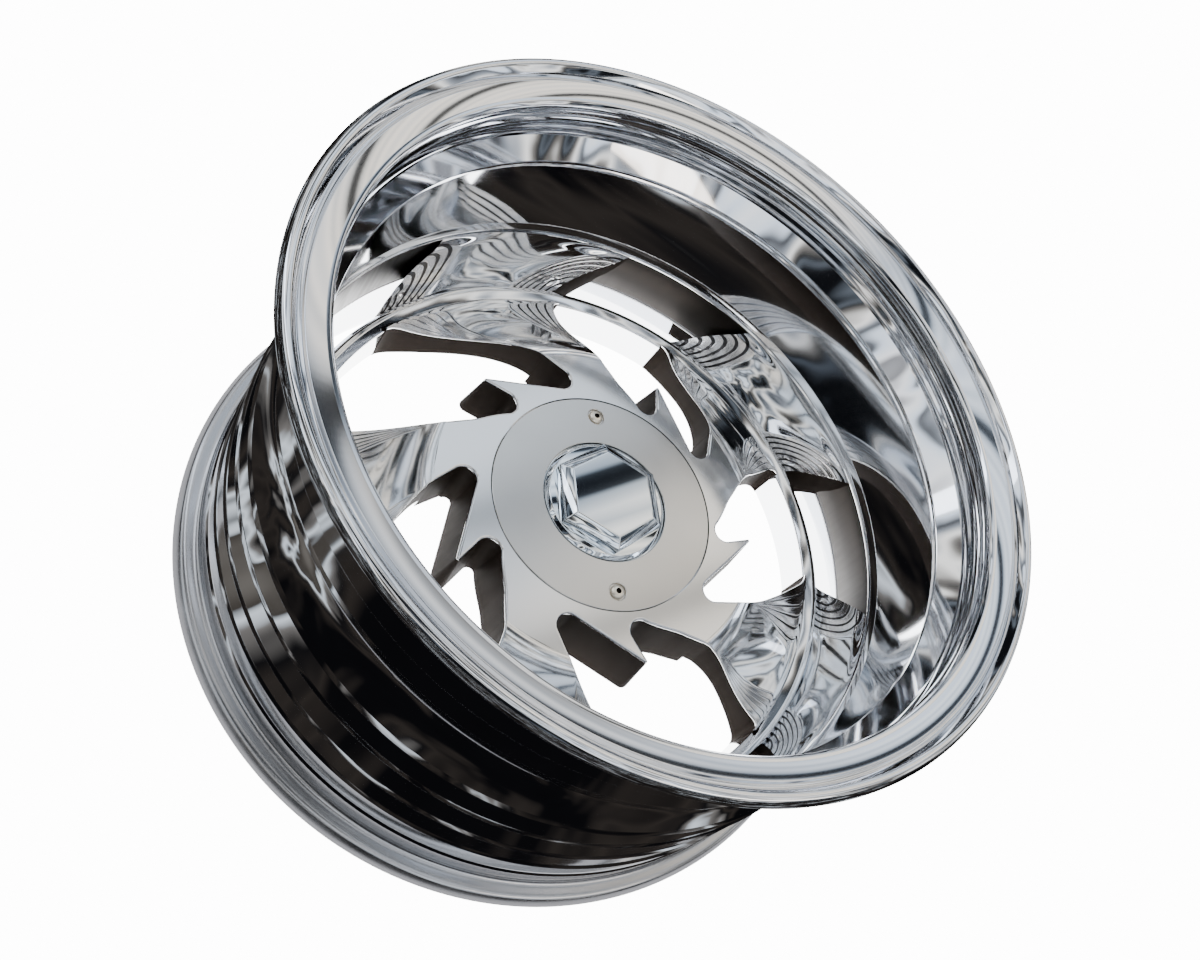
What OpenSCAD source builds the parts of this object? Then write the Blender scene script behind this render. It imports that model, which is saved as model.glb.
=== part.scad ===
// Deep dish truck wheel: a turned barrel, a milled swirl centre, a cover plate and a faceted cap.
// It lies on its rear flange. The axis is Z, the face looks up and the origin is on the floor.

/* [Rim] */
// Nominal bead seat diameter
bead_d = 614.4; // [608:0.1:620]
// Overall width, rear flange to front lip
rim_w = 348; // [344:1:354]
// Height of the rear flange above its bead seat
flange_h = 17.8; // [17:0.1:19]
// Extra radius of the rolled front lip
lip_extra = 7; // [5:0.5:9]
// Wall of the barrel round the centre
wall = 12; // [11:0.5:13]
// Height of the shoulder that the centre is pushed up to
shoulder_z = 163; // [160:1:166]
// Radius of the valve hole
valve_r = 5.65; // [4:0.05:8]
// Height of the valve hole
valve_z = 205; // [195:1:215]
// Direction of the valve hole
valve_dir = 300; // [280:1:320]

/* [Centre] */
// Height of the polished hub face
hub_z = 129; // [126:1:132]
// Radius where the hub face ends and the spokes begin to dip
hub_r = 158; // [154:1:162]
// Height of the mounting pad at the back
pad_z = 62; // [58:1:66]
// Radius of the mounting pad
pad_r = 112; // [110:1:116]
// Radius of the centre bore
bore_r = 62.55; // [58:0.05:64]
// Lug circle diameter
lug_pcd = 170; // [165.1:0.1:172]
// Number of lug holes
lugs = 8; // [6:2:8]
// Radius of a lug hole
lug_r = 8; // [7:0.1:9]
// Inner radius of the mid ring
ring_in = 254; // [252:1:256]
// Outer radius of the mid ring
ring_out = 271; // [269:1:273]
// Height of the crest of the mid ring
ring_z = 84; // [82:1:88]
// Height of the spokes beside the mid ring
bowl_z = 75; // [72:1:78]
// Height of the back of the mid ring
back_z = 38; // [34:1:42]
// Inner radius of the outer band
band_in = 288; // [287:0.5:289]
// Lower edge of the outer band
band_z = 98; // [92:1:104]

/* [Windows] */
// Number of spokes
spokes = 5; // [5]
// Direction of the first window's long pocket
window_dir = 57.7; // [50:0.1:65]
// Radius of a pocket's round end
pocket_r = 10.8; // [9:0.1:12]
// Radius of a window's corners at the mid ring
corner_r = 7; // [4:0.5:8]
// Radius of the barb's tip
tip_r = 2; // [1:0.5:3]

/* [Terraces] */
// Number of cutter steps in each corner
steps = 4; // [2:1:5]
// Height of the steps together, beside the mid ring
steps_h = 8; // [5:0.5:9]

/* [Cover] */
// Radius of the cover plate
plate_r = 108.5; // [107:0.5:110]
// Thickness of the cover plate
plate_t = 6; // [5:0.5:7]
// Gap round the cover plate
plate_gap = 0.8; // [0.5:0.1:1.5]
// Radius of the opening in the cover plate
opening_r = 61; // [60:0.5:61.5]
// How far the cover screws lie outside the middle of the plate's face
screw_out = 5.25; // [4:0.25:6]
// Direction of the first cover screw
screw_dir = 79.5; // [75:0.5:84]
// Nominal radius of a cover screw
screw_r = 4; // [3:0.5:4.5]
// Clearance round a cover screw
screw_gap = 0.2; // [0.1:0.1:0.5]

/* [Cap] */
// Gap between the cap and the cover plate
cap_gap = 1; // [0.6:0.1:1.5]
// Thickness of the cap's hidden flange
cap_t = 3; // [2:0.5:4]
// Half the width across the corners of the cap's hexagon
hex_r = 55; // [50:1:56]
// Height of the hexagon's edge above the hub face
hex_h = 10; // [8:1:12]
// Height of the cap's flat top above the hub face
cap_h = 15; // [13:1:16]

/* [Hidden] */
$fn = 96;
seat_r = bead_d / 2;
rear_r = seat_r + flange_h;
front_r = rear_r + lip_extra;
inner_r = seat_r - wall;
plate_z = hub_z - plate_t;
seat_z = plate_z - cap_t;
well_z = pad_z + 20;
well_r = plate_r - 8;
tube_r = bore_r + 7;
boss_r = 8;
screw_at = (opening_r + plate_r) / 2 + screw_out;
head_r = 7;
lug_dir = screw_dir + 180 / lugs;
pocket_a = [span(0.16), 0];
pocket_b = polar(30.4, span(0.134));
tip = polar(30.4, span(0.313));

// A point from its direction and its radius
function polar(a, r) = [r * cos(a), r * sin(a)];

// A radius by its share of the way from the plate's edge to the mid ring
function span(share) = plate_r + share * (ring_in - plate_r);

// Points along an arc
function arc(c, r, a0, a1, n = 6) = [for (i = [0:n]) c + polar(a0 + (a1 - a0) * i / n, r)];

// The unit vector from p to q
function toward(p, q) = (q - p) / norm(q - p);

// The corner at b, rounded between its neighbours a and c
function rounded(a, b, c, r, n = 4) =
    let (u = toward(b, a), v = toward(b, c), half = acos(u * v) / 2, back = r / tan(half))
    let (m = b + (u + v) / norm(u + v) * r / sin(half), s = b + u * back - m, e = b + v * back - m)
    [for (i = [0:n]) m + (s * sin((1 - i / n) * (180 - 2 * half)) + e * sin(i / n * (180 - 2 * half)))
        / sin(180 - 2 * half)];

// Height of the spokes' dip, from 0 at the hub face to 1 at the mid ring
function spoke_z(t) = bowl_z + (hub_z - bowl_z) * pow(1 - t, 2) * (1 + 0.6 * t);

// Radius of the outer dish, from 0 at the mid ring to 1 at the band's top
function dish_r(t) = ring_out + (band_in - ring_out) * (1 - pow(1 - t, 2.2));

// Section of the rim: rear flange, seats and drop on the outside, then the lip and the inside
module rim() {
    w = rim_w;
    color([0.8, 0.81, 0.82])
    difference() {
        rotate_extrude($fn = 180)
            polygon(concat(
                [[seat_r - 8, 0]],
                arc([rear_r - 9, 9], 9, -90, 90, 8),
                arc([seat_r + 6, 24], 6, 270, 180, 4),
                [for (z = [39, 66, 97, 134]) each arc([seat_r - 2.4, z], 2, -60, 60, 3)],
                [[seat_r - 1.5, 164], [seat_r - 3, 169]],
                [for (i = [1:9]) [seat_r - 3.5 - 5 * sin(18 * i), 170 + 7 * i]],
                [[seat_r - 3, 241], [seat_r - 1.5, 243], [seat_r - 1.5, 267], [seat_r, 269]],
                arc([seat_r + 6, w - 22], 6, 180, 90, 4),
                arc([front_r - 8, w - 8], 8, -90, 150, 12),
                [[front_r - 18, w - 5.5], [front_r - 20, w - 7], [front_r - 38, w - 8]],
                arc([front_r - 43, w - 10], 4, 50, 180, 4),
                [[front_r - 50, w - 13], [front_r - 49, w - 18]],
                arc([front_r - 59, w - 38], 26, 50, -25, 8),
                [[front_r - 38, w - 61], [front_r - 41.5, w - 63], [front_r - 49, w - 82],
                 [front_r - 49.5, w - 85], [inner_r - 7, w - 89], [inner_r - 5.5, w - 93],
                 [inner_r - 5.5, shoulder_z], [inner_r, shoulder_z], [inner_r, 16]]));
        rotate(valve_dir)
            translate([inner_r - 20, 0, valve_z])
                rotate([0, 90, 0])
                    cylinder(r = valve_r, h = 40);
    }
}

// The forging before the windows are cut, as one section
module blank() {
    rotate_extrude($fn = 144)
        polygon(concat(
            [[bore_r, pad_z], [pad_r, pad_z], [pad_r + 6, pad_z + 20], [132, 90], [168, 90], [196, 80],
             [228, 58], [ring_in - 4, back_z + 3], [ring_in, back_z], [ring_out, back_z],
             [ring_out + 6, back_z + 12], [band_in + 1, band_z - 6], [inner_r, band_z],
             [inner_r, shoulder_z], [band_in + 1.5, shoulder_z], [band_in, shoulder_z - 2]],
            [for (i = [6:-1:0]) [dish_r(i / 7), bowl_z + (shoulder_z - 14 - bowl_z) * i / 7]],
            arc([ring_out - 4, ring_z - 4], 4, 0, 90, 3),
            arc([ring_in + 6, ring_z - 4], 4, 90, 180, 3),
            [for (i = [8:-1:0]) [hub_r + (ring_in - hub_r) * i / 8, spoke_z(i / 8)]],
            [[plate_r + plate_gap, hub_z], [plate_r + plate_gap, plate_z], [well_r, plate_z],
             [well_r, well_z], [tube_r, well_z], [tube_r, seat_z], [bore_r, seat_z]]));
}

// Plan of the steps inside the mid ring, beside one window
module inner_steps(share) {
    polygon(concat(
        [for (p = [[11, 0.5], [18, 0.64], [24, 0.81], [30, 1.04]]) polar(p[0], span(p[1]))],
        [for (p = [[30, 1.04, 15], [23, 0.81, 9], [17, 0.64, 4]])
            polar(p[0] - p[2] * share - 1, span(p[1]))]));
    polygon(concat(
        [for (p = [[56, 0.56], [58, 0.74], [59, 1.04]]) polar(p[0], span(p[1]))],
        [for (p = [[59, 1.04, 11], [58, 0.74, 5]]) polar(p[0] + p[2] * share + 1, span(p[1]))]));
}

// One level of the steps outside the mid ring, on the dish
module outer_steps(share, k) {
    lift = steps_h * (1.25 - share);
    section = concat(
        [[ring_out - 6, bowl_z - 6]],
        [for (i = [0:6]) [dish_r(i / 7) - lift * sin(25 * i + 20), bowl_z + 1.5
            + (shoulder_z - 14 - bowl_z) * i / 7]],
        [[band_in + 3, shoulder_z - 20]],
        [[band_in + 2, band_z + 6], [ring_out + 6, bowl_z]]);
    rotate(28.8 - 14 * share)
        rotate_extrude(angle = 14 * share + 3 + k, $fn = 144)
            polygon(section);
    rotate(54 - k)
        rotate_extrude(angle = 6 + k + 10 * share, $fn = 144)
            polygon(section);
}

// Plan of one window inside the mid ring, with its long pocket on the X axis
module window_plan() {
    flank = [for (p = [[4.3, 0.375], [10.3, 0.5], [17.3, 0.645], [23.3, 0.81]]) polar(p[0], span(p[1]))];
    other = [for (p = [[59.6, 0.875], [58.8, 0.74], [56.8, 0.53], [54.3, 0.395], [51.3, 0.305], [47, 0.223]])
        polar(p[0], span(p[1]))];
    corner_a = polar(28.8, ring_in);
    corner_b = polar(59.8, ring_in);
    polygon(concat(
        flank,
        rounded(flank[3], corner_a, polar(34, ring_in), corner_r),
        [for (a = [36:4:54]) polar(a, ring_in)],
        rounded(polar(56, ring_in), corner_b, other[0], corner_r),
        other,
        arc(pocket_b, pocket_r, 177, 324, 8),
        rounded(pocket_b + polar(324, pocket_r), tip, pocket_a + polar(171, pocket_r), tip_r, 3),
        arc(pocket_a, pocket_r, 171, 311, 8)));
}

// Plan of one crescent between the mid ring and the band
module crescent_plan() {
    low_a = polar(28.8, ring_out);
    low_b = polar(59.8, ring_out);
    top_b = polar(47.3, band_in);
    top_a = polar(15.3, band_in);
    polygon(concat(
        rounded(top_a, low_a, polar(32, ring_out), corner_r),
        [for (a = [33:4:53]) polar(a, ring_out)],
        rounded(polar(55, ring_out), low_b, top_b, 3),
        rounded(low_b, top_b, polar(43, band_in), corner_r),
        [for (a = [42:-4:22]) polar(a, band_in)],
        rounded(polar(20, band_in), top_a, low_a, 3)));
}

// The swirl centre: the blank with its terraces, less the windows, the wells and the holes
module wheel_centre() {
    color([0.84, 0.85, 0.86])
    difference() {
        union() {
            blank();
            for (k = [1:steps], i = [0:spokes - 1])
                rotate(window_dir + i * 360 / spokes) {
                    translate([0, 0, 64])
                        linear_extrude(height = ring_z - 65 - (k - 1) * steps_h / steps)
                            inner_steps(k / steps);
                    outer_steps(k / steps, k);
                }
            for (i = [0, 1])
                rotate(screw_dir + 180 * i)
                    translate([screw_at, 0, well_z - 1])
                        cylinder(r = boss_r, h = plate_z - well_z + 1, $fn = 48);
        }
        for (i = [0:spokes - 1])
            rotate(window_dir + i * 360 / spokes)
                translate([0, 0, -1])
                    linear_extrude(height = 200) {
                        window_plan();
                        crescent_plan();
                    }
        for (i = [0:lugs - 1])
            rotate(lug_dir + i * 360 / lugs)
                translate([lug_pcd / 2, 0, pad_z - 1])
                    cylinder(r = lug_r, h = 30, $fn = 48);
        for (i = [0, 1])
            rotate(screw_dir + 180 * i)
                translate([screw_at, 0, plate_z - 24])
                    cylinder(r = screw_r + screw_gap, h = 30, $fn = 48);
    }
}

// The weld between the centre's band and the barrel, at the back
module weld_bead() {
    color([0.6, 0.6, 0.61])
    rotate_extrude($fn = 144)
        polygon([[inner_r, band_z - 0.3], [band_in + 1, band_z - 6.4], [band_in + 2, band_z - 9],
            [inner_r - 2.5, band_z - 11], [inner_r, band_z - 12]]);
}

// The satin plate that hides the lugs
module cover_plate() {
    color([0.72, 0.71, 0.7])
    difference() {
        translate([0, 0, plate_z])
            rotate_extrude($fn = 144)
                polygon([[opening_r, 0], [plate_r, 0], [plate_r, plate_t - 1], [plate_r - 1, plate_t],
                    [opening_r + 1.5, plate_t], [opening_r, plate_t - 1.5]]);
        for (i = [0, 1])
            rotate(screw_dir + 180 * i)
                translate([screw_at, 0, plate_z]) {
                    translate([0, 0, -1])
                        cylinder(r = screw_r + screw_gap, h = plate_t + 2, $fn = 48);
                    translate([0, 0, plate_t - 2])
                        cylinder(r = head_r + 1, h = 3, $fn = 48);
                }
    }
}

// The faceted cap: a flange held under the plate, a round collar and a bevelled hexagon
module centre_cap() {
    body_r = opening_r - cap_gap;
    flat = hex_r * cos(30);
    color([0.88, 0.89, 0.9])
    difference() {
        union() {
            translate([0, 0, seat_z])
                rotate_extrude($fn = 96)
                    polygon([[0, 0], [opening_r + 5, 0], [opening_r + 5, cap_t], [body_r, cap_t],
                        [body_r, cap_t + 4], [body_r - 3, cap_t + plate_t + 2], [0, cap_t + plate_t + 3]]);
            rotate(-10)
                translate([0, 0, plate_z])
                    cylinder(r = hex_r, h = plate_t + cap_h, $fn = 6);
        }
        for (i = [0:5])
            rotate(20 + 60 * i)
                translate([flat, 0, hub_z + hex_h])
                    rotate([0, 25, 0])
                        translate([-40, -60, 0])
                            cube([80, 120, 40]);
        translate([0, 0, seat_z - 1])
            cylinder(r = 30, h = 16);
    }
}

// Two socket screws with button heads
module cover_screws() {
    color([0.8, 0.76, 0.68])
    for (i = [0, 1])
        rotate(screw_dir + 180 * i)
            translate([screw_at, 0, hub_z - 2])
                difference() {
                    rotate_extrude($fn = 48)
                        polygon(concat([[0, 1 - plate_t - 14], [screw_r, 1 - plate_t - 14], [screw_r, 0],
                            [head_r, 0]], [for (a = [0:15:75]) [1.5 + (head_r - 1.5) * cos(a),
                            1 + 3 * sin(a)]], [[0, 4]]));
                    translate([0, 0, 1.5])
                        cylinder(r = 2.6, h = 4, $fn = 6);
                }
}

rim();
wheel_centre();
weld_bead();
cover_plate();
centre_cap();
cover_screws();
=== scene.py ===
import math

import bmesh
import bpy
from mathutils import Matrix, Vector


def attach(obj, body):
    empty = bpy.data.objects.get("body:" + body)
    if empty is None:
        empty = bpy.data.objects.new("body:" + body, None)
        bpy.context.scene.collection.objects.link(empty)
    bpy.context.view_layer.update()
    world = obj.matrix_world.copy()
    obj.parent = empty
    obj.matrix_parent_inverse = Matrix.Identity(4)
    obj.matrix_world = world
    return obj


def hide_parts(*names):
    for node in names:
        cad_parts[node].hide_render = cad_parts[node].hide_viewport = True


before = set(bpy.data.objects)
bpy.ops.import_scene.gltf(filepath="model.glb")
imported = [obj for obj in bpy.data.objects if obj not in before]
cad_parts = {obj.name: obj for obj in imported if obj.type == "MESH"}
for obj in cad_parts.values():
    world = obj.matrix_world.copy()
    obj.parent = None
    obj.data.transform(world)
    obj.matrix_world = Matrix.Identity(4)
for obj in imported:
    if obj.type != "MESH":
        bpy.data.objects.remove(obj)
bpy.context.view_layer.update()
mm = 0.001


# small tools

def toLinear(hexColour):  # sRGB hex to linear rgba
    parts = [int(hexColour[i : i + 2], 16) / 255 for i in (0, 2, 4)]
    return [p / 12.92 if p <= 0.04045 else ((p + 0.055) / 1.055) ** 2.4 for p in parts] + [1]


def addNode(tree, kind, settings=None, links=None, stops=()):  # one node, set up and linked
    node = tree.nodes.new(kind)
    for name, value in (settings or {}).items():
        if isinstance(name, int) or (name in node.inputs and not hasattr(node, name)):
            node.inputs[name].default_value = value
        else:
            setattr(node, name, value)
    for name, source in (links or {}).items():
        tree.links.new(source, node.inputs[name])
    while stops and len(node.color_ramp.elements) < len(stops):
        node.color_ramp.elements.new(0.5)
    for i, (position, colour) in enumerate(stops):
        node.color_ramp.elements[i].position = position
        node.color_ramp.elements[i].color = toLinear(colour)
    return node


def polar(azimuth, radius):  # degrees and mm to a flat point
    a = math.radians(azimuth)
    return Vector((radius * math.cos(a), radius * math.sin(a)))


def arc(centre, radius, start, end, count):
    c = Vector(centre)
    return [c + polar(start + (end - start) * i / count, radius) for i in range(count + 1)]


def between(points, x):  # smooth value at x through (x, value) pairs
    for i in range(len(points) - 1):
        if x <= points[i + 1][0] or i == len(points) - 2:
            break
    p0, p1 = points[max(i - 1, 0)], points[i]
    p2, p3 = points[i + 1], points[min(i + 2, len(points) - 1)]
    span = p2[0] - p1[0]
    t = (x - p1[0]) / span
    m1 = (p2[1] - p0[1]) / (p2[0] - p0[0]) * span
    m2 = (p3[1] - p1[1]) / (p3[0] - p1[0]) * span
    t2, t3 = t * t, t * t * t
    ends = (2 * t3 - 3 * t2 + 1) * p1[1] + (3 * t2 - 2 * t3) * p2[1]
    return ends + (t3 - 2 * t2 + t) * m1 + (t3 - t2) * m2


def filleted(corners, count):  # closed outline of (x, y, corner radius)
    out = []
    for i, (x, y, radius) in enumerate(corners):
        b = Vector((x, y))
        a = Vector(corners[i - 1][:2])
        c = Vector(corners[(i + 1) % len(corners)][:2])
        u, v = (a - b).normalized(), (c - b).normalized()
        half = math.acos(max(-1, min(1, u.dot(v)))) / 2
        if radius <= 0 or half > math.radians(88):
            out.append(b)
            continue
        back = min(radius / math.tan(half), (a - b).length * 0.49, (c - b).length * 0.49)
        radius = back * math.tan(half)
        middle = b + (u + v).normalized() * (radius / math.sin(half))
        s, e = b + u * back - middle, b + v * back - middle
        turn = math.pi - 2 * half
        for k in range(count + 1):
            t = k / count
            out.append(middle + (s * math.sin((1 - t) * turn) + e * math.sin(t * turn)) / math.sin(turn))
    return out


def only(made, kind):  # what an operator made, of one kind
    return [g for g in made["geom"] if isinstance(g, kind)]


def loopOf(bm, points, z):  # closed ring of edges in a flat plane, mm in
    verts = [bm.verts.new((p.x * mm, p.y * mm, z * mm)) for p in points]
    return [bm.edges.new((verts[i - 1], verts[i])) for i in range(len(verts))]


def circleOf(radius, count):  # flat points round the axis
    return [polar(i * 360 / count, radius) for i in range(count)]


def turned(profile, steps):  # a closed section (radius, height) spun about the axis
    bm = bmesh.new()
    verts = [bm.verts.new((p.x * mm, 0, p.y * mm)) for p in profile]
    edges = [bm.edges.new((verts[i - 1], verts[i])) for i in range(len(verts))]
    bmesh.ops.spin(bm, geom=verts + edges, cent=(0, 0, 0), axis=(0, 0, 1), dvec=(0, 0, 0),
                   angle=math.tau, steps=steps, use_merge=True, use_duplicate=False)
    return bm


def plateOf(bm, loops, thickness):  # flat plate inside its loops, made thick by so many mm
    made = bmesh.ops.triangle_fill(bm, use_beauty=True, use_dissolve=False, edges=loops)
    made = bmesh.ops.extrude_face_region(bm, geom=only(made, bmesh.types.BMFace))
    bmesh.ops.translate(bm, verts=only(made, bmesh.types.BMVert), vec=(0, 0, thickness * mm))


def closeBack(bm, backPoint):  # walls down from the front's border, then a ruled back
    border = [e for e in bm.edges if len(e.link_faces) == 1]
    made = bmesh.ops.extrude_edge_only(bm, edges=border)
    for v in only(made, bmesh.types.BMVert):
        v.co = backPoint(v.co)
    low = [e for e in only(made, bmesh.types.BMEdge) if len(e.link_faces) == 1]
    bmesh.ops.triangle_fill(bm, use_beauty=True, use_dissolve=False, edges=low)
    return only(made, bmesh.types.BMFace)


def mergeInto(bm, one):
    mesh = bpy.data.meshes.new("one")
    one.to_mesh(mesh)
    one.free()
    bm.from_mesh(mesh)
    bpy.data.meshes.remove(mesh)


def makePiece(bm, name, materials, node, sharp):  # sharp: bends past these degrees stay crisp
    bmesh.ops.remove_doubles(bm, verts=bm.verts, dist=1e-6)
    bmesh.ops.recalc_face_normals(bm, faces=bm.faces)
    for face in bm.faces:
        face.smooth = True
    for edge in bm.edges:
        levelSides = sum(abs(face.normal.z) > 0.99995 for face in edge.link_faces)
        gentle = edge.calc_face_angle(0) < math.radians(sharp)
        edge.smooth = len(edge.link_faces) == 2 and levelSides != 1 and gentle
    mesh = bpy.data.meshes.new(name)
    bm.to_mesh(mesh)
    bm.free()
    for material in materials:
        mesh.materials.append(material)
    piece = bpy.data.objects.new(name, mesh)
    bpy.context.collection.objects.link(piece)
    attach(piece, "root")
    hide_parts(node)
    print("made", name, len(mesh.polygons), "faces")


def centrePiece(bm, name, materials, sharp):
    makePiece(bm, name, materials, "wheel_centre", sharp)


# materials

def finish(name, colour, roughness, grain=None, metallic=1.0, specular=0.5):
    material = bpy.data.materials.new(name)
    material.use_nodes = True
    tree = material.node_tree
    shader = tree.nodes["Principled BSDF"]
    shader.inputs["Base Color"].default_value = toLinear(colour)
    shader.inputs["Metallic"].default_value = metallic
    shader.inputs["Roughness"].default_value = roughness
    shader.inputs["Specular IOR Level"].default_value = specular
    if grain:
        place = addNode(tree, "ShaderNodeTexCoord")
        stretch = addNode(tree, "ShaderNodeMapping", {"Scale": grain["stretch"]},
                          {"Vector": place.outputs["Object"]})
        noise = addNode(tree, "ShaderNodeTexNoise", {"Scale": 1 / (grain["size"] * mm), "Detail": 3.0},
                        {"Vector": stretch.outputs["Vector"]})
        spread = addNode(tree, "ShaderNodeMapRange", {"To Min": grain["low"], "To Max": grain["high"]},
                         {"Value": noise.outputs["Fac"]})
        tree.links.new(spread.outputs["Result"], shader.inputs["Roughness"])
    return material


def gradeOutward(material, grade):  # roughness that changes with the distance from the axis
    tree = material.node_tree
    place = addNode(tree, "ShaderNodeTexCoord")
    flat = addNode(tree, "ShaderNodeVectorMath", {"operation": "MULTIPLY", 1: (1, 1, 0)},
                   {0: place.outputs["Object"]})
    fromAxis = addNode(tree, "ShaderNodeVectorMath", {"operation": "LENGTH"},
                       {0: flat.outputs["Vector"]})
    softness = addNode(tree, "ShaderNodeMapRange",
                       {"From Min": grade["from"] * mm, "From Max": grade["to"] * mm,
                        "To Min": grade["hub"], "To Max": grade["arms"]},
                       {"Value": fromAxis.outputs["Value"]})
    tree.links.new(softness.outputs["Result"], tree.nodes["Principled BSDF"].inputs["Roughness"])


# buffed, reflects the room sharply
polishedAluminium = finish("mirror polished aluminium", "e4e6e9", 0.07)
polishedBarrel = finish("polished aluminium barrel", "dcdee2", 0.05)
# a soft sheen at the hub, sharper out on the spokes
gradedPolish = finish("hub polish turning to a mirror outward", "e0e1e2", 0.1)
gradeOutward(gradedPolish, {"from": 165, "to": 215, "hub": 0.11, "arms": 0.05})
# buffed by hand, a softer mirror; under each step a dull dark grey band of painted shade
steppedPolish = finish("polished cutter steps", "ececed", 0.17)
stepPaintedShade = finish("painted shade under the steps", "4b4a4b", 0.25)
# rubbed by hand, a pale even sheen in wide soft clouds
satinAluminium = finish("satin polished aluminium", "c4c3c1", 0.2,
                        {"size": 60, "stretch": (1, 1, 1), "low": 0.11, "high": 0.19})
# painted shade: milled aluminium made brown-black for the wall in shade; cutter marks run down the wall,
# drawn 6 mm wide so that they show
milledPaintedShade = finish("milled aluminium in painted shade", "231f1c", 0.38,
                     {"size": 6, "stretch": (1, 1, 0.12), "low": 0.25, "high": 0.5})
# painted shade, near black and hardly shining, on the walls and backs seen in the windows, so the windows
# read as dark cuts
paintedWindowShade = finish("painted shade in the windows and sockets", "26201c", 0.6,
                    {"size": 6, "stretch": (1, 1, 0.12), "low": 0.5, "high": 0.7},
                    metallic=0.0, specular=0.02)
# lathe finish of the rear flange, its bands drawn 8 mm high so that they show
satinFlange = finish("satin turned aluminium", "a9aaad", 0.3,
                     {"size": 30, "stretch": (1, 1, 4), "low": 0.16, "high": 0.3})
chromePlate = finish("chrome plating", "dfe6ec", 0.02)  # bluish mirror
stainless = finish("warm bright stainless steel", "f2e8d6", 0.3)  # warmer and softer than the chrome
asWelded = finish("as welded aluminium", "9a9a9c", 0.45)  # dull grey
print("materials ready")

# sizes that several pieces share, in mm and degrees
wheel = {
    "lip": 332.0, "width": 348.0, "seat": 307.2, "inner": 295.2, "shoulder": 163.0,
    "hubZ": 129.0, "hubR": 158.0, "hubBottom": 80.0, "recess": 109.3,
    "ringIn": 254.0, "ringOut": 271.0, "ringZ": 84.0, "bowlZ": 75.0, "backZ": 38.0,
    "bandIn": 288.0, "bandZ": 98.0, "coverZ": 123.0, "capZ": 120.0,
    "windowDir": 57.7, "spokes": 5, "pitch": 72.0, "screwAt": 90.0, "screwDir": 79.5,
}


# the rim: one closed section, spun

def buildRim():
    rim = {
        # points as (out from the bead seat, height, corner radius)
        "rearFlange": [(-8, 0, 2), (14, 0, 8), (17.8, 9, 7), (12, 18.5, 6), (0, 18.5, 5), (-1.2, 36, 1)],
        "dropEdge": [(-1.5, 164, 1.5), (-3.2, 169, 1)],
        "frontSeat": [(-3, 241, 0.5), (-1.5, 243.5, 1), (-1.5, 267, 1), (0, 269.5, 1)],
        # points as (in from the lip's edge, down from its face, corner radius)
        "lipFace": [(6, 16, 6), (-0.5, 8, 5), (4, 0, 4), (9, 0, 4), (13.5, 7, 1.2), (15, 13, 0.8),
                    (17.3, 12.6, 0.8), (18.8, 10, 0.8), (33, 15.6, 1.5), (36, 16, 2), (38.5, 19.5, 2),
                    (37.5, 23, 3)],
        "lipFoot": [(34.5, 59.5, 0.8), (35.5, 62, 0.8), (49, 82, 1), (49.5, 86, 1)],
        # points as (in from the barrel's inside, down from the lip's face, corner radius)
        "innerSteps": [(8.5, 87, 0.8), (7.5, 90, 1), (9, 92, 0.8), (5.5, 97, 3)],
        "seatRadius": 5, "shoulderStep": 5.5, "mouth": (16, 10),
        "ridges": (39, 66, 97, 134), "ridgeDepth": 1.6, "ridgeHalf": 2.2,
        "dropFrom": 170, "dropLong": 70, "dropTop": 3.5, "dropDeep": 5,
        "hollowFrom": 26, "hollowLong": 32, "hollowTop": 36.5, "hollowDeep": 7,
        "satinHeight": 36, "satinGap": 3, "steps": 300,
    }
    seat, inner, lip, width = wheel["seat"], wheel["inner"], wheel["lip"], wheel["width"]

    def fromSeat(points):
        return [(seat + out, z, r) for out, z, r in points]

    def fromLip(points):
        return [(lip - back, width - down, r) for back, down, r in points]

    foot = seat - rim["ridgeDepth"]
    outside = fromSeat(rim["rearFlange"])
    for z in rim["ridges"]:  # thin turned ridges on the rear seat
        half = rim["ridgeHalf"] + 1
        outside += [(foot, z - half, 0.8), (foot + rim["ridgeDepth"], z, 0.6), (foot, z + half, 0.8)]
    outside += fromSeat(rim["dropEdge"])
    for i in range(1, 10):  # the shallow drop between the seats
        sink = rim["dropTop"] + rim["dropDeep"] * math.sin(math.pi * i / 10)
        outside.append((seat - sink, rim["dropFrom"] + rim["dropLong"] * i / 10, 0))
    outside += fromSeat(rim["frontSeat"])
    outside.append((seat, width - rim["lipFace"][0][1], rim["seatRadius"]))
    outside += fromLip(rim["lipFace"])
    for i in range(9):  # the hollow behind the lip
        bulge = rim["hollowDeep"] * math.sin(math.pi * (0.1 + 0.1 * i))
        down = rim["hollowFrom"] + rim["hollowLong"] * i / 8
        outside.append((lip - rim["hollowTop"] + bulge, width - down, 0))
    inside = fromLip(rim["lipFoot"])
    inside += [(inner - back, width - down, r) for back, down, r in rim["innerSteps"]]
    inside += [(inner - rim["shoulderStep"], wheel["shoulder"], 0.6), (inner, wheel["shoulder"], 0),
               (inner, *rim["mouth"])]
    bm = turned(filleted(outside + inside, 5), rim["steps"])
    for face in bm.faces:
        centre = face.calc_center_median() / mm
        beyond = math.hypot(centre.x, centre.y) > inner + rim["satinGap"]
        face.material_index = int(centre.z < rim["satinHeight"] and beyond)
    makePiece(bm, "polishedRim", [polishedBarrel, satinFlange], "rim", 40)


# the forged centre, with the sides of one window as (radius, azimuth)

ccwFlank = [(158, 2.9), (163, 4.3), (181, 10.3), (202.5, 17.3), (226, 23.3), (246, 27.3), (254, 28.8)]
cwFlank = [(158, 52.4), (166, 54.3), (186, 56.8), (216, 58.8), (236, 59.6), (254, 59.8)]
cornerRound = 7.0


def cornerTurn(radius):  # how far a flank leans into the window beside the ring, in degrees
    into = max(0.0, radius - (wheel["ringIn"] - cornerRound))
    return math.degrees((cornerRound - math.sqrt(max(0.0, cornerRound ** 2 - into ** 2))) / radius)


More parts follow.
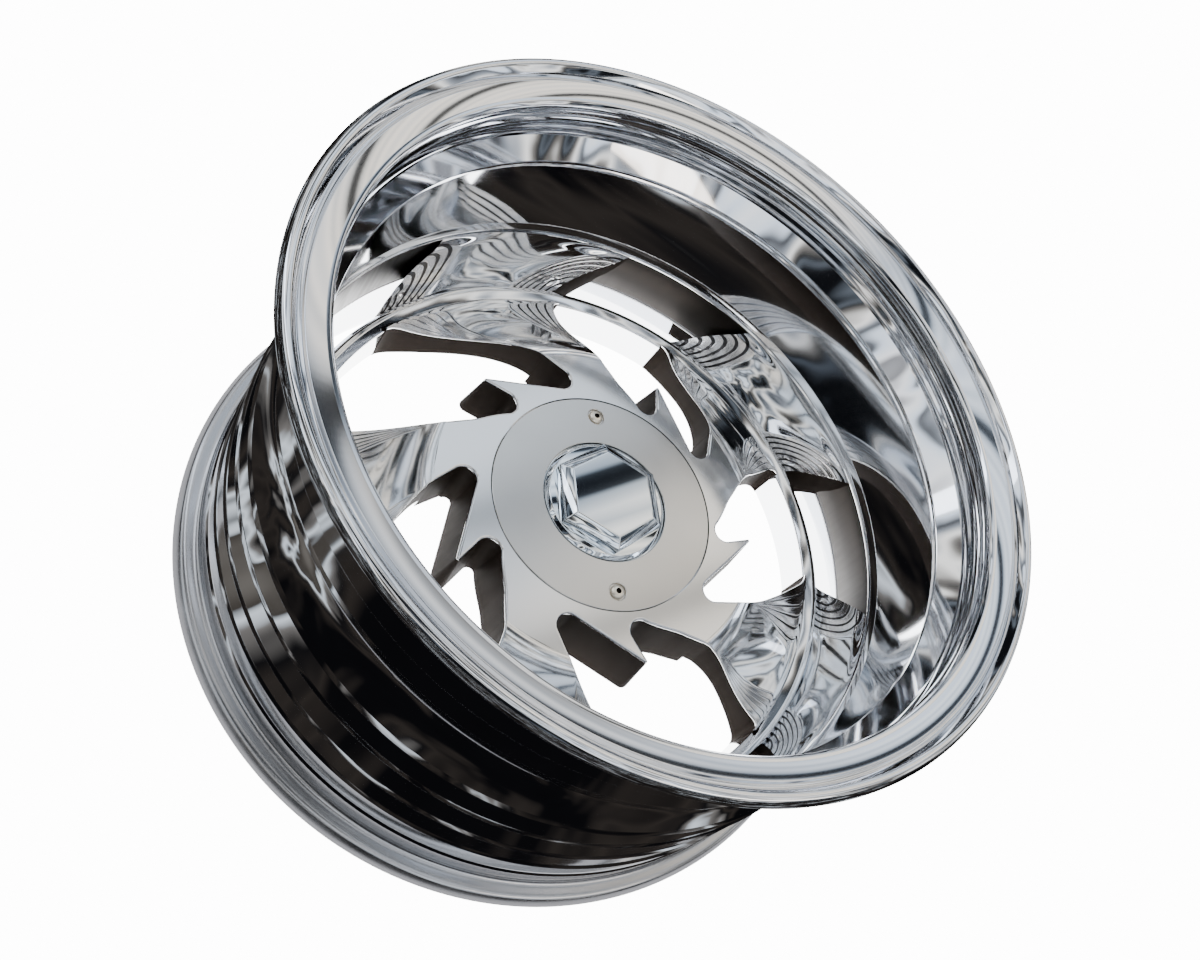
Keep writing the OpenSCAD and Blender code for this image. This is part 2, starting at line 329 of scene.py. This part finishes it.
def dip(radius):  # height of the spokes' middle, easing in from the flat hub
    easing = 0.13
    t = (radius - wheel["hubR"]) / (wheel["ringIn"] - wheel["hubR"])
    t = max(0.0, min(1.0, t))
    s = (t - easing * (1 - math.exp(-t / easing))) / (1 - easing)
    return wheel["bowlZ"] + (wheel["hubZ"] - wheel["bowlZ"]) * (1 - s) ** 2 * (1 + 0.6 * s)


def spokeBack(radius):
    return between([(140, 90), (168, 90), (196, 80), (228, 58), (250, 41), (256, 38)], min(radius, 256))


def stair(q, count, riser):  # steps left by the cutter, 0 on the lowest and 1 at the crest
    u = max(0.0, min(1.0, q)) * count
    k = min(count - 1, math.floor(u))
    rise = min(1.0, (u - k) / riser)
    return (k + 0.2 * (u - k) + 0.8 * rise * rise * (3 - 2 * rise)) / count


def stepTreadOrShade(levels, riser):  # 0 smooth, 2 on a tread, 3 for painted shade in the corner under a step
    middle = sum(levels) / len(levels)
    if middle < 0:
        return 0
    return 3 if middle % 1 < riser else 2


def acrossSpoke(column, columns, spoke, low, high, fan, edge):
    # azimuth in a row, share of the way up to the crest, and how far the rolled edge drops
    side, roll = spoke["steps"] * spoke["perStep"], spoke["roll"]
    lowWide = edge + spoke["land"] + spoke["cwWide"] * fan
    highWide = edge + spoke["land"] + spoke["ccwWide"] * fan
    fromHigh = columns - column
    nearest = min(column, fromHigh)
    if nearest <= roll:
        lean = math.radians(90 * nearest / roll)
        shift = edge * (1 - math.cos(lean))
        return low + shift if column <= roll else high - shift, 1.0, spoke["edge"] * (1 - math.sin(lean))
    if nearest <= side + roll:
        q = 1 - (nearest - roll) / side
        if column == nearest:
            return low + edge + (lowWide - edge) * (1 - q), q, 0.0
        return high - edge - (highWide - edge) * (1 - q), q, 0.0
    share = (column - side - roll) / spoke["middle"]
    return low + lowWide + (high - highWide - low - lowWide) * share, 0.0, 0.0


def buildSpokes():
    spoke = {"steps": 5, "perStep": 10, "rows": 80, "middle": 30, "roll": 5, "edge": 1.5, "land": 0.6,
             "cwWide": 10.0, "ccwWide": 15.0, "lift": 10.0, "riser": 0.25, "hollow": 2.5,
             "fanFrom": 172.0, "underRing": 1.5}
    columns = 2 * (spoke["steps"] * spoke["perStep"] + spoke["roll"]) + spoke["middle"]
    reach = wheel["ringIn"] + spoke["underRing"] - wheel["hubR"]
    bm = bmesh.new()
    for n in range(wheel["spokes"]):
        one = bmesh.new()
        made = bmesh.ops.create_grid(one, x_segments=columns, y_segments=spoke["rows"], size=0.5)
        levels = {}
        turn = wheel["windowDir"] + wheel["pitch"] * n
        for v in made["verts"]:
            column = round((v.co.x + 0.5) * columns)
            radius = wheel["hubR"] + reach * (1 - (0.5 - v.co.y) ** 1.4)
            flat = min(radius, wheel["ringIn"])
            low = between(cwFlank, flat) - cornerTurn(flat)
            high = between(ccwFlank, flat) + wheel["pitch"] + cornerTurn(flat)
            fan = max(0.0, (flat - spoke["fanFrom"]) / (wheel["ringIn"] - spoke["fanFrom"])) ** 1.2
            edge = math.degrees(spoke["edge"] / flat)
            azimuth, q, drop = acrossSpoke(column, columns, spoke, low, high, fan, edge)
            across = (azimuth - low) / (high - low)
            hollow = spoke["hollow"] * (1 - (2 * across - 1) ** 2) * min(1.0, fan + 0.1)
            stepped = spoke["lift"] * fan * stair(q, spoke["steps"], spoke["riser"])
            p = polar(turn + azimuth, radius)
            v.co = (p.x * mm, p.y * mm, (dip(flat) - hollow + stepped - drop) * mm)
            levels[v] = q * spoke["steps"] if 0 < q < 1 and fan > 0.1 else -9.0
        for face in one.faces:
            # the corner under each step takes painted shade
            face.material_index = stepTreadOrShade([levels[v] for v in face.verts], spoke["riser"])
        # the walls and back of each spoke take painted shade
        for face in closeBack(one, lambda co: Vector((co.x, co.y, spokeBack(co.xy.length / mm) * mm))):
            face.material_index = 1
        mergeInto(bm, one)
    centrePiece(bm, "swirlSpokes", [gradedPolish, paintedWindowShade, steppedPolish, stepPaintedShade], 60)


def windowOutline():  # the hub side of one window, from flank to flank round both pockets
    window = {"pocket": 10.8, "firstAt": 132.0, "lastAt": 128.0, "barbDir": 30.4, "barbTip": 160.5,
              "barbRound": 1.7, "firstArc": (311, 171), "lastArc": (324, 184),
              "toFlank": [(136.2, 44.5), (145.2, 48.2)]}
    start = polar(between(ccwFlank, wheel["hubR"]), wheel["hubR"])
    tip = polar(window["barbDir"], window["barbTip"])
    first = arc((window["firstAt"], 0), window["pocket"], *window["firstArc"], 24)
    first = [start.lerp(first[0], i / 4) for i in range(4)] + first
    last = arc(polar(window["barbDir"], window["lastAt"]), window["pocket"], *window["lastArc"], 24)
    barb = filleted([(*first[-1], 0), (*tip, window["barbRound"]), (*last[0], 0)], 8)[1:-1]
    leaving = (last[-1].length, math.degrees(math.atan2(last[-1].y, last[-1].x)))
    outer = [leaving] + window["toFlank"] + cwFlank
    run = [leaving[0] + (wheel["hubR"] - leaving[0]) * i / 9 for i in range(1, 10)]
    return first + barb + last + [polar(between(outer, r), r) for r in run]


def sidesOf(path):  # for each point, a sideways step into the window that keeps edges parallel
    sides = []
    for i in range(1, len(path) - 1):
        p = path[i]
        before, after = (p - path[i - 1]).normalized(), (path[i + 1] - p).normalized()
        middle = Vector((-(before + after).y, (before + after).x)).normalized()
        sides.append(middle / max(0.6, middle.dot(Vector((-after.y, after.x)))))
    first, last = (Vector((-p.y, p.x)).normalized() for p in (path[0], path[-1]))
    return [-first] + sides + [last]


def buildHubPlate():  # flat face with rolled edges, walls narrowing the windows toward the back
    hub = {"edge": 2.2, "draft": 5.5, "rootPoints": 18, "land": 0.6}
    top, bottom = wheel["hubZ"], wheel["hubBottom"]
    path = windowOutline()
    sides = sidesOf(path)
    levels = []
    for j in range(6):
        bend = math.radians(18 * j)
        levels.append((hub["edge"] * (1 - math.sin(bend)), top - hub["edge"] * (1 - math.cos(bend))))
    levels.append((-hub["draft"], bottom))
    low = between(cwFlank, wheel["hubR"]) + hub["land"]
    high = between(ccwFlank, wheel["hubR"]) + wheel["pitch"] - hub["land"]
    bm = bmesh.new()
    windows, roots = [], []
    for n in range(wheel["spokes"]):
        turn = Matrix.Rotation(math.radians(wheel["windowDir"] + wheel["pitch"] * n), 2)
        rows = []
        for off, z in levels:
            row = []
            for i, (p, side) in enumerate(zip(path, sides)):
                fade = 1.0 if off > 0 else min(1.0, i / 6, (len(path) - 1 - i) / 9)
                q = turn @ (p + side * off * fade)
                row.append(bm.verts.new((q.x * mm, q.y * mm, z * mm)))
            rows.append(row)
        windows.append(rows)
        for j in range(len(rows) - 1):
            for i in range(len(path) - 1):
                corners = (rows[j][i], rows[j][i + 1], rows[j + 1][i + 1], rows[j + 1][i])
                # the lowest band of wall, down to the back, takes painted shade
                bm.faces.new(corners).material_index = int(j == len(rows) - 2)
        root = [turn @ polar(low + (high - low) * i / hub["rootPoints"], wheel["hubR"])
                for i in range(1, hub["rootPoints"])]
        roots.append([[bm.verts.new((q.x * mm, q.y * mm, z * mm)) for q in root] for z in (top, bottom)])
    for n in range(wheel["spokes"]):  # the wall under each spoke's root
        here, following = windows[n], windows[(n + 1) % wheel["spokes"]]
        loop = [here[0][-1]] + roots[n][0] + [row[0] for row in following] + roots[n][1][::-1]
        bm.faces.new(loop + [row[-1] for row in here[:0:-1]])
    rings = []
    for level, z in ((0, top), (-1, bottom)):
        outline = []
        for n in range(wheel["spokes"]):
            outline += windows[n][level] + roots[n][level]
        edges = []
        for i, vert in enumerate(outline):
            pair = (vert, outline[(i + 1) % len(outline)])
            edges.append(bm.edges.get(pair) or bm.edges.new(pair))
        rings.append(loopOf(bm, circleOf(wheel["recess"], 180), z))
        bmesh.ops.triangle_fill(bm, use_beauty=True, use_dissolve=False, edges=edges + rings[-1])
    bmesh.ops.bridge_loops(bm, edges=rings[0] + rings[1])
    centrePiece(bm, "hubFace", [gradedPolish, paintedWindowShade], 35)


def buildRing():
    r0, r1, top, back = wheel["ringIn"], wheel["ringOut"], wheel["ringZ"], wheel["backZ"]
    section = [(r0, back, 3), (r1, back, 3), (r1, top - 9, 2), (r1 + 0.2, top - 5, 2),
               (r1 - 3.5, top + 0.6, 3), (r0 + 9, top + 0.4, 3), (r0 + 6, top - 1.5, 2),
               (r0 + 1, top - 4.5, 2.5)]
    centrePiece(turned(filleted(section, 6), 320), "midRing", [polishedAluminium], 35)


def dishRadius(t):
    return wheel["ringOut"] + (wheel["bandIn"] - wheel["ringOut"]) * (1 - (1 - t) ** 2.2)


def buildDish():  # each arm: a scoop between two crests, stepped to the windows in nested arches
    dish = {"arches": 7, "perArch": 9, "bowl": 48, "rows": 64, "wide": 52.0, "lift": 5.5, "riser": 0.4,
            "paintedShadeShare": 0.3, "low": 59.8, "high": 100.8, "slant": 12.5, "corner": 1.4,
            "foot": 74.0, "top": 151.0, "eyeAt": (15.0, 0.2), "eyeWide": 4.5, "eyeDeep": 2.4}
    backRadius = [(0, 268), (0.3, 279), (0.7, 289), (1, 294.5)]
    backHeight = [(0, 39), (0.3, 52), (0.7, 88), (1, 104)]
    high = dish["top"] - dish["foot"]
    side = dish["arches"] * dish["perArch"]
    columns = 2 * side + dish["bowl"]

    def armBack(co):
        t = max(0.0, min(1.0, (co.z / mm - dish["foot"]) / high))
        out = Vector((co.x, co.y)).normalized() * between(backRadius, t)
        return Vector((out.x, out.y, between(backHeight, t))) * mm

    for n in range(wheel["spokes"]):
        bm = bmesh.new()
        made = bmesh.ops.create_grid(bm, x_segments=columns, y_segments=dish["rows"], size=0.5)
        levels = {}
        turn = wheel["windowDir"] + wheel["pitch"] * n
        for v in made["verts"]:
            column = round((v.co.x + 0.5) * columns)
            theta = math.radians(90 * (v.co.y + 0.5))
            s = max(0.02, min(1.0, min(column, columns - column) / side))
            t = s ** 0.85 * math.sin(theta)
            off = dish["wide"] * s * math.cos(theta)
            corner = dish["corner"] * math.exp(-t / 0.06)
            base = dishRadius(t)
            swing = math.degrees(off / base)
            first = dish["low"] - dish["slant"] * t - corner + swing
            final = dish["high"] - dish["slant"] * t + corner - swing
            share = max(0.0, min(1.0, (column - side) / dish["bowl"]))
            relief = stair(s, dish["arches"], dish["riser"])
            if 0 < share < 1:
                relief = abs(2 * share - 1) ** 2.2
            ease = min(1.0, (1 - t) / 0.2)
            rising = 0.5 + 0.5 * min(1.0, t / 0.3)
            lift = dish["lift"] * relief * rising * ease * ease * (3 - 2 * ease)
            away = math.hypot(off - dish["eyeAt"][0], (t - dish["eyeAt"][1]) * high) / dish["eyeWide"]
            lift -= dish["eyeDeep"] * math.exp(-away * away)
            p = polar(turn + first * (1 - share) + final * share, base - 0.9 * lift)
            v.co = (p.x * mm, p.y * mm, (dish["foot"] + high * t + 0.4 * lift) * mm)
            levels[v] = s * dish["arches"] if s < 1 else -9.0
        for face in bm.faces:
            # the lower share of each arch's step takes painted shade
            face.material_index = stepTreadOrShade([levels[v] for v in face.verts], dish["paintedShadeShare"])
        # the walls and back of each arm take painted shade
        for face in closeBack(bm, armBack):
            face.material_index = 1
        finishes = [polishedAluminium, paintedWindowShade, steppedPolish, stepPaintedShade]
        centrePiece(bm, f"dishWall_{n + 1}", finishes, 60)


def buildBand():  # satin wall outside the crescents, polished brim above it
    r0, r1 = wheel["bandIn"], wheel["inner"] - 0.1
    z0, edge, z1 = wheel["bandZ"], 149.0, wheel["shoulder"] - 0.1
    section = [(r0 + 1, z0 - 5, 1), (r1, z0, 0), (r1, edge + 2, 0), (r0 + 2, edge + 2, 0),
               (r0 + 0.4, edge, 0)]
    # the band's brown-black is painted shade
    centrePiece(turned(filleted(section, 3), 300), "outerBand", [milledPaintedShade], 30)
    section = [(r0 + 0.2, edge - 0.3, 0.3), (r1 - 0.1, edge - 0.3, 0), (r1 - 0.1, z1, 0),
               (r1 - 5.2, z1, 0.4), (r0 + 1.2, edge + 4, 5), (r0 - 0.4, edge + 1.4, 1)]
    centrePiece(turned(filleted(section, 6), 300), "brimLine", [polishedAluminium], 40)


def buildHubBack():
    hub = {"pad": 62.0, "padR": 112.0, "bore": 62.55, "floor": 82.0, "well": 100.5, "tube": 69.55,
           "lug": 8.0, "circle": 85.0, "lugs": 8, "first": 102.0, "skirtR": 116.5, "skirtZ": 95.0}
    bm = bmesh.new()
    loops = loopOf(bm, circleOf(hub["padR"], 120), hub["pad"])
    loops += loopOf(bm, circleOf(hub["bore"], 120), hub["pad"])
    for n in range(hub["lugs"]):
        centre = polar(hub["first"] + 360 * n / hub["lugs"], hub["circle"])
        loops += loopOf(bm, arc(centre, hub["lug"], 0, 352.5, 47), hub["pad"])
    plateOf(bm, loops, hub["floor"] - hub["pad"])
    centrePiece(bm, "hubPad", [polishedAluminium], 30)
    low, coverZ = hub["floor"] - 1, wheel["coverZ"]
    section = [(hub["padR"] - 1, hub["pad"] + 0.5, 0), (hub["padR"], hub["pad"], 1.5),
               (hub["skirtR"], wheel["hubBottom"], 4), (hub["skirtR"], hub["skirtZ"], 0),
               (wheel["recess"], hub["skirtZ"] + 5, 0), (wheel["recess"], coverZ, 0),
               (hub["well"], coverZ, 0.5), (hub["well"], low, 0), (hub["padR"] - 1, low, 0)]
    centrePiece(turned(filleted(section, 4), 180), "hubSkirt", [polishedAluminium], 35)
    section = [(hub["bore"], low, 0), (hub["tube"], low, 0), (hub["tube"], wheel["capZ"], 0.5),
               (hub["bore"], wheel["capZ"], 0.5)]
    centrePiece(turned(filleted(section, 3), 160), "hubTube", [polishedAluminium], 35)


def buildWeld():
    bead = {"ripple": 0.35, "ripples": 170, "steps": 720}
    z, r = wheel["bandZ"], wheel["inner"]
    section = [(r, z - 0.4, 0), (r - 6, z - 6.2, 1), (r - 5.2, z - 9, 2), (r - 2.5, z - 11, 2),
               (r, z - 12, 0)]
    bm = turned(filleted(section, 4), bead["steps"])
    for v in bm.verts:  # overlapping beads laid by hand
        azimuth = math.atan2(v.co.y, v.co.x)
        if v.co.xy.length < (r - 1) * mm:
            ripple = bead["ripple"] * mm * abs(math.sin(azimuth * bead["ripples"]))
            v.co.x += ripple * math.cos(azimuth)
            v.co.y += ripple * math.sin(azimuth)
    makePiece(bm, "weldBead", [asWelded], "weld_bead", 60)


def buildPlate():
    cover = {"r": 108.5, "hole": 61.0, "thick": 6.0, "sink": 8.0, "shank": 4.2, "edge": 0.9, "deep": 2.0}
    seatZ = wheel["coverZ"] + 0.2
    top = wheel["coverZ"] + cover["thick"]
    bm = bmesh.new()
    loops = loopOf(bm, circleOf(cover["r"], 240), top) + loopOf(bm, circleOf(cover["hole"], 240), top)
    screwPlaces = [(turn, polar(wheel["screwDir"] + turn, wheel["screwAt"])) for turn in (0, 180)]
    for _, centre in screwPlaces:
        loops += loopOf(bm, arc(centre, cover["sink"], 0, 354, 59), top)
    plateOf(bm, loops, -cover["thick"])
    bmesh.ops.recalc_face_normals(bm, faces=bm.faces)
    rim = [e for e in bm.edges if e.calc_face_angle(0) > 1
           and all(abs(v.co.z - top * mm) < 1e-6 for v in e.verts)]
    bmesh.ops.bevel(bm, geom=rim, offset=cover["edge"] * mm, affect="EDGES", segments=3, profile=0.5,
                    material=-1)
    makePiece(bm, "coverPlate", [satinAluminium], "cover_plate", 32)
    outer = cover["sink"] + 0.3
    for turn, centre in screwPlaces:
        section = [(cover["shank"], seatZ, 0), (outer, seatZ, 0), (outer, top - cover["deep"], 0),
                   (cover["shank"], top - cover["deep"], 0)]
        seat = turned(filleted(section, 2), 64)
        bmesh.ops.translate(seat, verts=seat.verts, vec=(centre.x * mm, centre.y * mm, 0))
        makePiece(seat, f"counterbore_{turn}", [satinAluminium], "cover_plate", 32)


def buildScrews():
    screw = {"head": 7.0, "shank": 4.0, "z": 127.0, "long": 19.0, "socket": 2.6, "high": 4.0, "deep": 2.6}
    bm = bmesh.new()
    for turn in (0, 180):
        section = [(0.001, -screw["long"]), (screw["shank"], -screw["long"]), (screw["shank"], 0),
                   (screw["head"], 0)]
        for a in range(0, 80, 8):  # the button head's dome
            dome = polar(a, 1.0)
            section.append((0.8 * screw["head"] * dome.x + 1.4, 1 + (screw["high"] - 1) * dome.y))
        socketFloor = screw["high"] - screw["deep"]
        section += [(screw["socket"], screw["high"]), (screw["socket"], socketFloor + 0.2),
                    (0.001, socketFloor)]
        one = turned([Vector(p) for p in section], 48)
        # the socket's walls and floor take painted shade
        for face in one.faces:
            centre = face.calc_center_median() / mm
            face.material_index = int(centre.xy.length < screw["socket"] + 0.05 and centre.z > 0)
        place = polar(wheel["screwDir"] + turn, wheel["screwAt"])
        bmesh.ops.translate(one, verts=one.verts, vec=(place.x * mm, place.y * mm, screw["z"] * mm))
        mergeInto(bm, one)
    makePiece(bm, "socketScrews", [stainless, paintedWindowShade], "cover_screws", 35)


def buildCap():
    cap = {"body": 60.0, "flange": 66.0, "flangeThick": 3.0, "hex": 55.0, "edgeZ": 139.0, "topZ": 144.0,
           "turn": -10.0, "inset": 11.5, "bevel": 0.9}
    z, body, flange = wheel["capZ"], cap["body"], cap["flange"]
    over = z + cap["flangeThick"]
    section = [(0.001, z, 0), (flange, z, 0), (flange, over, 0), (body, over, 0), (body, z + 8, 1.5),
               (body - 4, z + 11, 2), (0.001, z + 12, 0)]
    makePiece(turned(filleted(section, 4), 160), "capCollar", [chromePlate], "centre_cap", 30)
    bm = bmesh.new()
    base = bmesh.ops.create_circle(bm, cap_ends=True, segments=6, radius=cap["hex"] * mm)
    spin = Matrix.Rotation(math.radians(cap["turn"]), 3, "Z")
    bmesh.ops.rotate(bm, verts=base["verts"], cent=(0, 0, 0), matrix=spin)
    bmesh.ops.translate(bm, verts=base["verts"], vec=(0, 0, (z + 5) * mm))
    made = bmesh.ops.extrude_face_region(bm, geom=list(bm.faces))
    up = only(made, bmesh.types.BMVert)
    bmesh.ops.translate(bm, verts=up, vec=(0, 0, (cap["edgeZ"] - z - 5) * mm))
    top = [f for f in bm.faces if all(v in up for v in f.verts)]
    bmesh.ops.inset_region(bm, faces=top, thickness=cap["inset"] * mm, depth=0)
    crown = list({v for f in top for v in f.verts})
    bmesh.ops.translate(bm, verts=crown, vec=(0, 0, (cap["topZ"] - cap["edgeZ"]) * mm))
    bmesh.ops.recalc_face_normals(bm, faces=bm.faces)
    edges = [e for e in bm.edges if e.calc_face_angle(0) > 0.1]
    bmesh.ops.bevel(bm, geom=edges, offset=cap["bevel"] * mm, affect="EDGES", segments=3, profile=0.5,
                    material=-1)
    makePiece(bm, "hexagonalCap", [chromePlate], "centre_cap", 25)


buildRim()
buildSpokes()
buildHubPlate()
buildRing()
buildDish()
buildBand()
buildHubBack()
buildWeld()
buildPlate()
buildScrews()
buildCap()


# the room: white to the camera, while the polish sees a patchy floor and a sky with bright panes

def buildFloor():
    look = {"radius": 12.0, "drop": 0.0005, "white": 14.0, "strength": 1.6, "patches": 4.5,
            "under": 0.30, "underRay": 0.19, "underTone": (6.0, 6.0, 6.0, 1),
            "besideRay": 0.07, "besideTone": (0.7, 0.7, 0.72, 1), "diffuse": (0.8, 0.8, 0.8, 1)}
    bm = bmesh.new()
    bmesh.ops.create_circle(bm, cap_ends=True, segments=96, radius=look["radius"])
    mesh = bpy.data.meshes.new("floor")
    bm.to_mesh(mesh)
    bm.free()
    floor = bpy.data.objects.new("floor", mesh)
    bpy.context.collection.objects.link(floor)
    floor.location.z = -look["drop"]
    material = bpy.data.materials.new("pale floor")
    material.use_nodes = True
    tree = material.node_tree
    tree.nodes.clear()
    path = addNode(tree, "ShaderNodeLightPath")
    place = addNode(tree, "ShaderNodeTexCoord")
    white = addNode(tree, "ShaderNodeEmission", {"Color": (1, 1, 1, 1), "Strength": look["white"]})
    pale = addNode(tree, "ShaderNodeBsdfDiffuse", {"Color": look["diffuse"]})
    patches = addNode(tree, "ShaderNodeTexNoise",
                      {"Scale": look["patches"], "Detail": 3.0, "Distortion": 0.8},
                      {"Vector": place.outputs["Object"]})
    tones = addNode(tree, "ShaderNodeValToRGB", links={"Fac": patches.outputs["Fac"]}, stops=[
        (0.0, "030304"), (0.44, "0b0b0d"), (0.52, "2b2724"), (0.56, "101012"), (0.60, "6d6a67"),
        (0.63, "d9e2ea"), (0.66, "3d3935"), (1.0, "8a8680")])
    ray = path.outputs["Ray Length"]
    # painted light: a pale glow, seen only in reflections from close by, where the barrel nearly touches
    # the floor
    beside = addNode(tree, "ShaderNodeMath", {"operation": "LESS_THAN", 1: look["besideRay"]}, {0: ray})
    edged = addNode(tree, "ShaderNodeMix", {"data_type": "RGBA", 7: look["besideTone"]},
                    {0: beside.outputs[0], 6: tones.outputs["Color"]})
    # painted light: the floor under the wheel glows bright in reflections from close by, like daylight
    # through the windows
    reach = addNode(tree, "ShaderNodeVectorMath", {"operation": "LENGTH"}, {0: place.outputs["Object"]})
    under = addNode(tree, "ShaderNodeMath", {"operation": "LESS_THAN", 1: look["under"]},
                    {0: reach.outputs["Value"]})
    close = addNode(tree, "ShaderNodeMath", {"operation": "LESS_THAN", 1: look["underRay"]}, {0: ray})
    both = addNode(tree, "ShaderNodeMath", {"operation": "MULTIPLY"},
                   {0: under.outputs[0], 1: close.outputs[0]})
    seen = addNode(tree, "ShaderNodeMix", {"data_type": "RGBA", 7: look["underTone"]},
                   {0: both.outputs[0], 6: edged.outputs[2]})
    glow = addNode(tree, "ShaderNodeEmission", {"Strength": look["strength"]}, {"Color": seen.outputs[2]})
    dim = addNode(tree, "ShaderNodeMixShader",
                  links={0: path.outputs["Is Glossy Ray"], 1: pale.outputs[0], 2: glow.outputs[0]})
    mix = addNode(tree, "ShaderNodeMixShader",
                  links={0: path.outputs["Is Camera Ray"], 1: dim.outputs[0], 2: white.outputs[0]})
    addNode(tree, "ShaderNodeOutputMaterial", links={"Surface": mix.outputs[0]})
    mesh.materials.append(material)


def buildSky():
    look = {"strength": 2.3, "white": 14.0, "shapes": 1.7, "rise": 0.11, "panes": 2.6,
            "paneDir": (-0.533, -0.360, 0.766), "paneFrom": 0.84, "paneTo": 0.90,
            "warmDir": (0.559, -0.829, 0.0), "warmHalf": 0.10}
    world = bpy.data.worlds.new("studio")
    bpy.context.scene.world = world
    world.use_nodes = True
    tree = world.node_tree
    tree.nodes.clear()
    ahead = addNode(tree, "ShaderNodeTexCoord").outputs["Generated"]
    shapes = addNode(tree, "ShaderNodeTexNoise",
                     {"Scale": look["shapes"], "Detail": 2.0, "Roughness": 0.45, "Distortion": 1.2},
                     {"Vector": ahead})
    height = addNode(tree, "ShaderNodeSeparateXYZ", links={0: ahead})
    raised = addNode(tree, "ShaderNodeMath", {"operation": "MULTIPLY_ADD", 1: look["rise"]},
                     {0: height.outputs["Z"], 2: shapes.outputs["Fac"]})
    room = addNode(tree, "ShaderNodeValToRGB", links={"Fac": raised.outputs[0]}, stops=[
        (0.0, "040506"), (0.44, "0b0c0f"), (0.475, "50565d"), (0.495, "101215"), (0.53, "6f6c68"),
        (0.56, "f8f6f1"), (0.60, "8b9199"), (0.635, "2c2b2b"), (0.66, "d6e1ee"), (0.72, "f4f6f8"),
        (0.78, "77777a"), (1.0, "d0d4d8")])
    toPanes = addNode(tree, "ShaderNodeVectorMath", {"operation": "DOT_PRODUCT", 1: look["paneDir"]},
                      {0: ahead})
    facing = addNode(tree, "ShaderNodeMapRange",
                     {"From Min": look["paneFrom"], "From Max": look["paneTo"]},
                     {"Value": toPanes.outputs["Value"]})
    panes = addNode(tree, "ShaderNodeTexWave",
                    {"bands_direction": "Y", "Scale": look["panes"], "Distortion": 1.0, "Detail": 0.0},
                    {"Vector": ahead})
    light = addNode(tree, "ShaderNodeValToRGB", links={"Fac": panes.outputs["Fac"]}, stops=[
        (0.0, "202226"), (0.04, "33363a"), (0.09, "b9c0c8"), (0.35, "f6f7f8"), (0.62, "c6ccd3"),
        (0.85, "ffffff"), (1.0, "dfe4ea")])
    across = addNode(tree, "ShaderNodeVectorMath", {"operation": "DOT_PRODUCT", 1: look["warmDir"]},
                     {0: ahead})
    warmth = addNode(tree, "ShaderNodeMapRange",
                     {"From Min": -look["warmHalf"], "From Max": look["warmHalf"]},
                     {"Value": across.outputs["Value"]})
    tint = addNode(tree, "ShaderNodeValToRGB", links={"Fac": warmth.outputs["Result"]}, stops=[
        (0.0, "fff4e4"), (0.35, "f2ece4"), (0.6, "c3c8ce"), (1.0, "e6edf4")])
    tinted = addNode(tree, "ShaderNodeMix", {"data_type": "RGBA", "blend_type": "MULTIPLY", 0: 1.0},
                     {6: light.outputs["Color"], 7: tint.outputs["Color"]})
    both = addNode(tree, "ShaderNodeMix", {"data_type": "RGBA"},
                   {0: facing.outputs["Result"], 6: room.outputs["Color"], 7: tinted.outputs[2]})
    sky = addNode(tree, "ShaderNodeBackground", {"Strength": look["strength"]}, {"Color": both.outputs[2]})
    white = addNode(tree, "ShaderNodeBackground", {"Color": (1, 1, 1, 1), "Strength": look["white"]})
    path = addNode(tree, "ShaderNodeLightPath")
    shown = addNode(tree, "ShaderNodeMixShader",
                    links={0: path.outputs["Is Camera Ray"], 1: sky.outputs[0], 2: white.outputs[0]})
    addNode(tree, "ShaderNodeOutputWorld", links={"Surface": shown.outputs[0]})


def addLamp(name, lamp):
    data = bpy.data.lights.new(name, "AREA")
    data.shape = "RECTANGLE"
    data.size, data.size_y = lamp["size"]
    data.energy = lamp["watts"]
    data.color = toLinear(lamp["colour"])[:3]
    light = bpy.data.objects.new(name, data)
    bpy.context.collection.objects.link(light)
    light.location = lamp["at"]
    aim = Vector(lamp["at"]) - Vector((0, 0, 0.2))
    light.rotation_euler = aim.to_track_quat("Z", "Y").to_euler()


lamps = {
    "strip": {"at": (1.2, -1.6, 1.7), "size": (0.3, 2.2), "watts": 8, "colour": "eaf2ff"},
    "warm strip": {"at": (-0.4, 2.3, 1.4), "size": (1.8, 0.3), "watts": 7, "colour": "fff2e2"},
}
buildFloor()
buildSky()
for lampName, lampSettings in lamps.items():
    addLamp(lampName, lampSettings)
print("room ready")

# camera, set by the fit of the lip, flange and windows, in mm from the floor under the axis
view = {"from": (543.1, 360.9, 950.1), "right": (-0.715, 0.3566, 0.6014), "up": (-0.0107, -0.8656, 0.5006),
        "back": (0.6991, 0.3515, 0.6227), "lens": 33.04, "shift": (-0.2167, -0.0667)}
cameraData = bpy.data.cameras.new("camera")
cameraData.lens = view["lens"]
cameraData.sensor_width = 36
cameraData.shift_x, cameraData.shift_y = view["shift"]
camera = bpy.data.objects.new("camera", cameraData)
bpy.context.collection.objects.link(camera)
turnTo = Matrix((view["right"], view["up"], view["back"])).transposed().to_quaternion().to_matrix().to_4x4()
camera.matrix_world = Matrix.Translation(Vector(view["from"]) * mm) @ turnTo
bpy.context.scene.camera = camera
